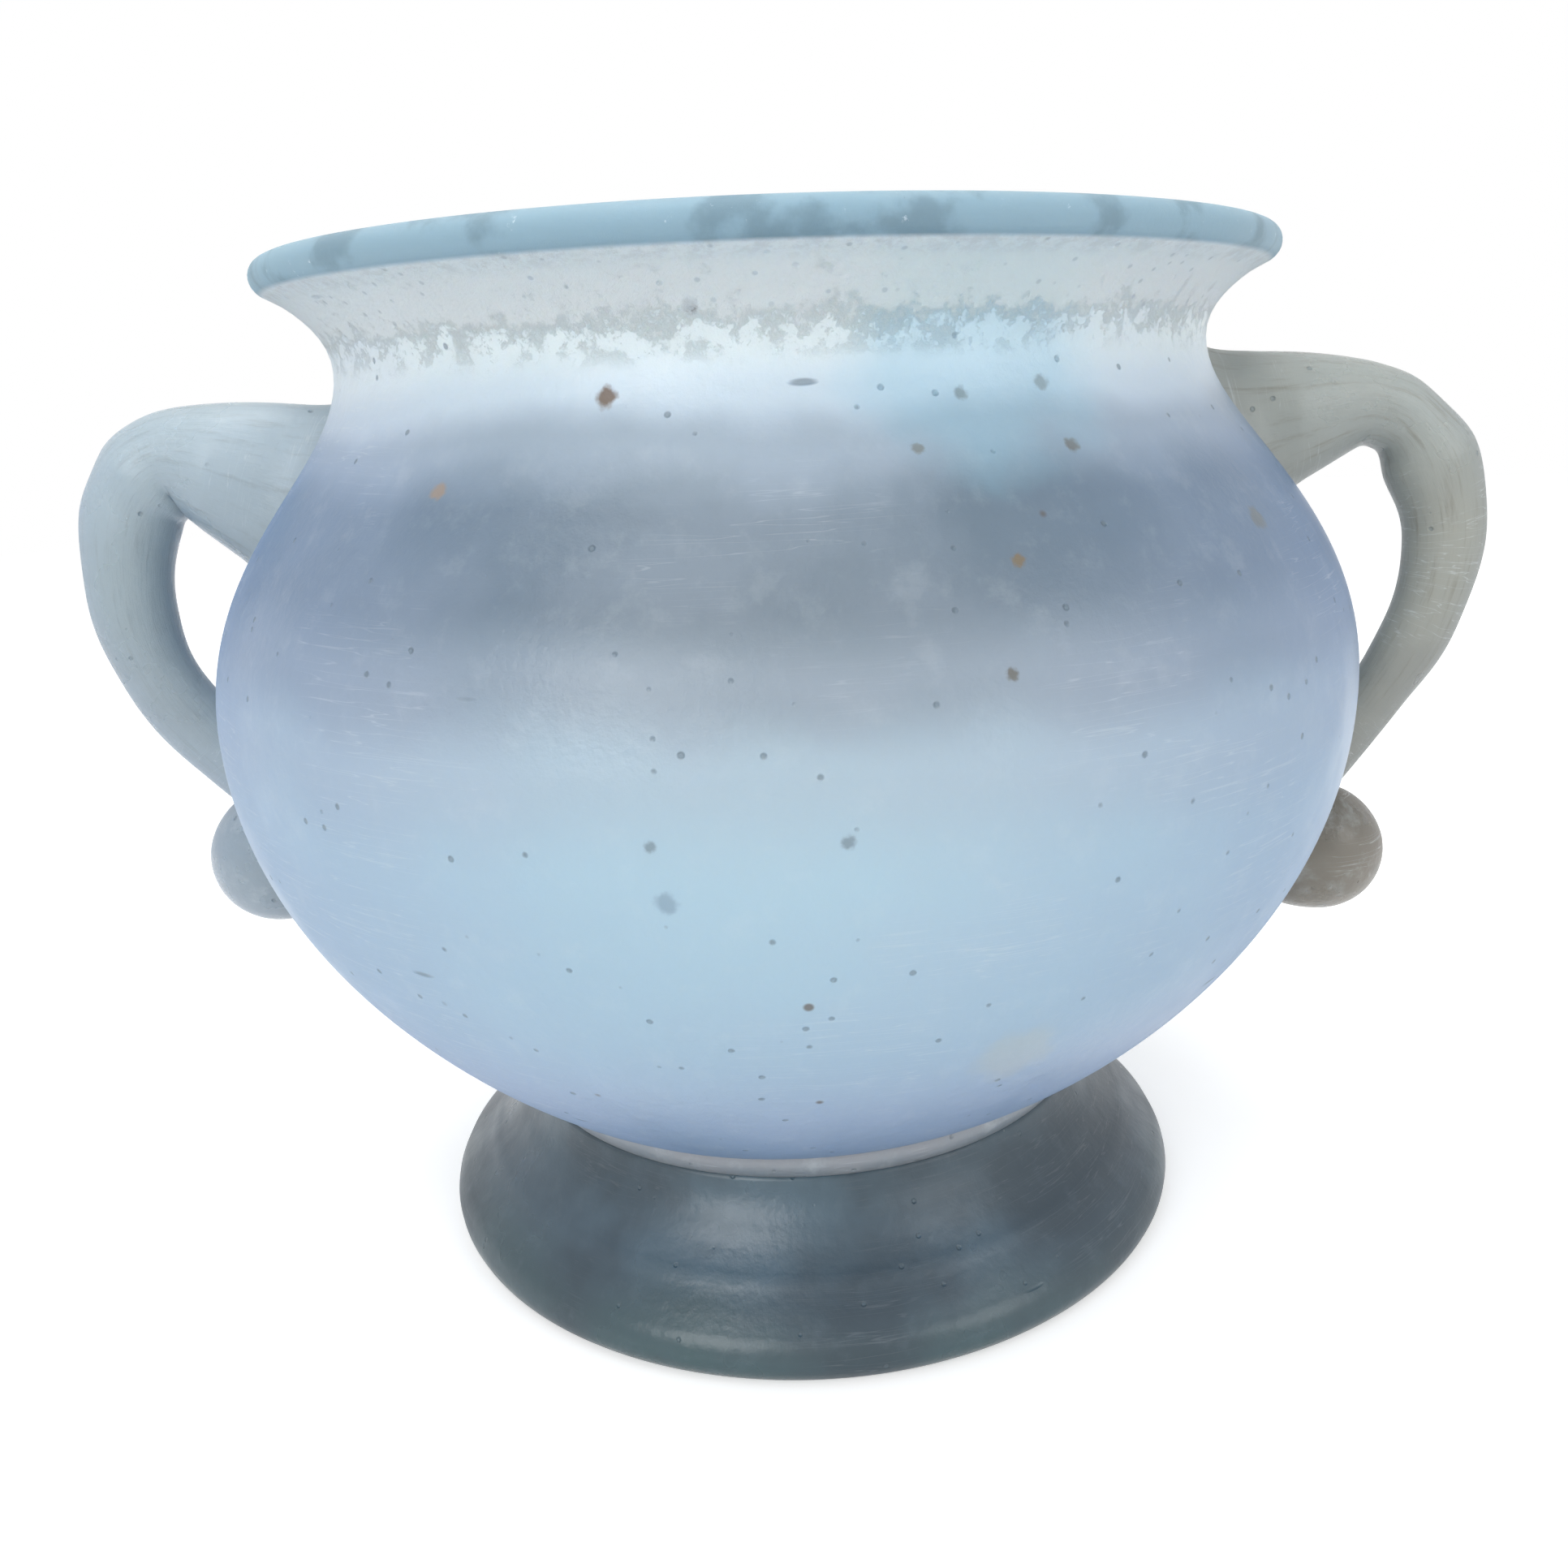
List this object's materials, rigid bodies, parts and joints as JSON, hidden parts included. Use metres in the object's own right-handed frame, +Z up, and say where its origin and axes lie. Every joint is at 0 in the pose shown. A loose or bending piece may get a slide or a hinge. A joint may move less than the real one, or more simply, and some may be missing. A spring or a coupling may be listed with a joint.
{
  "type": "two-handled footed glass vase",
  "caption": "Round-bodied frosted glass vase with a flared mouth, a hollow flared foot, and two drawn side handles that each end above a glass bead.",
  "frame": {"origin": "centre of the plane that the foot's resting ring stands on, below the middle of the vase", "axes": "+Z up along the vase's turned axis, +X towards the right handle, +Y to the back, away from the picture's viewer"},
  "size_m": [0.2696, 0.2132, 0.1885],
  "materials": {
    "bowl_glass": "frosted pale blue, pitted, with a white crust under the lip",
    "foot_glass": "frosted slate blue",
    "collar_glass": "frosted grey",
    "left_handle_glass": "frosted grey",
    "right_handle_glass": "frosted warm grey",
    "left_bead_glass": "frosted grey",
    "right_bead_glass": "frosted grey brown"
  },
  "bodies": {
    "root": {"bowl": "bowl_glass", "foot": "foot_glass", "foot_collar": "collar_glass", "left_handle": "left_handle_glass", "right_handle": "right_handle_glass", "left_bead": "left_bead_glass", "right_bead": "right_bead_glass"}
  },
  "joints": []
}
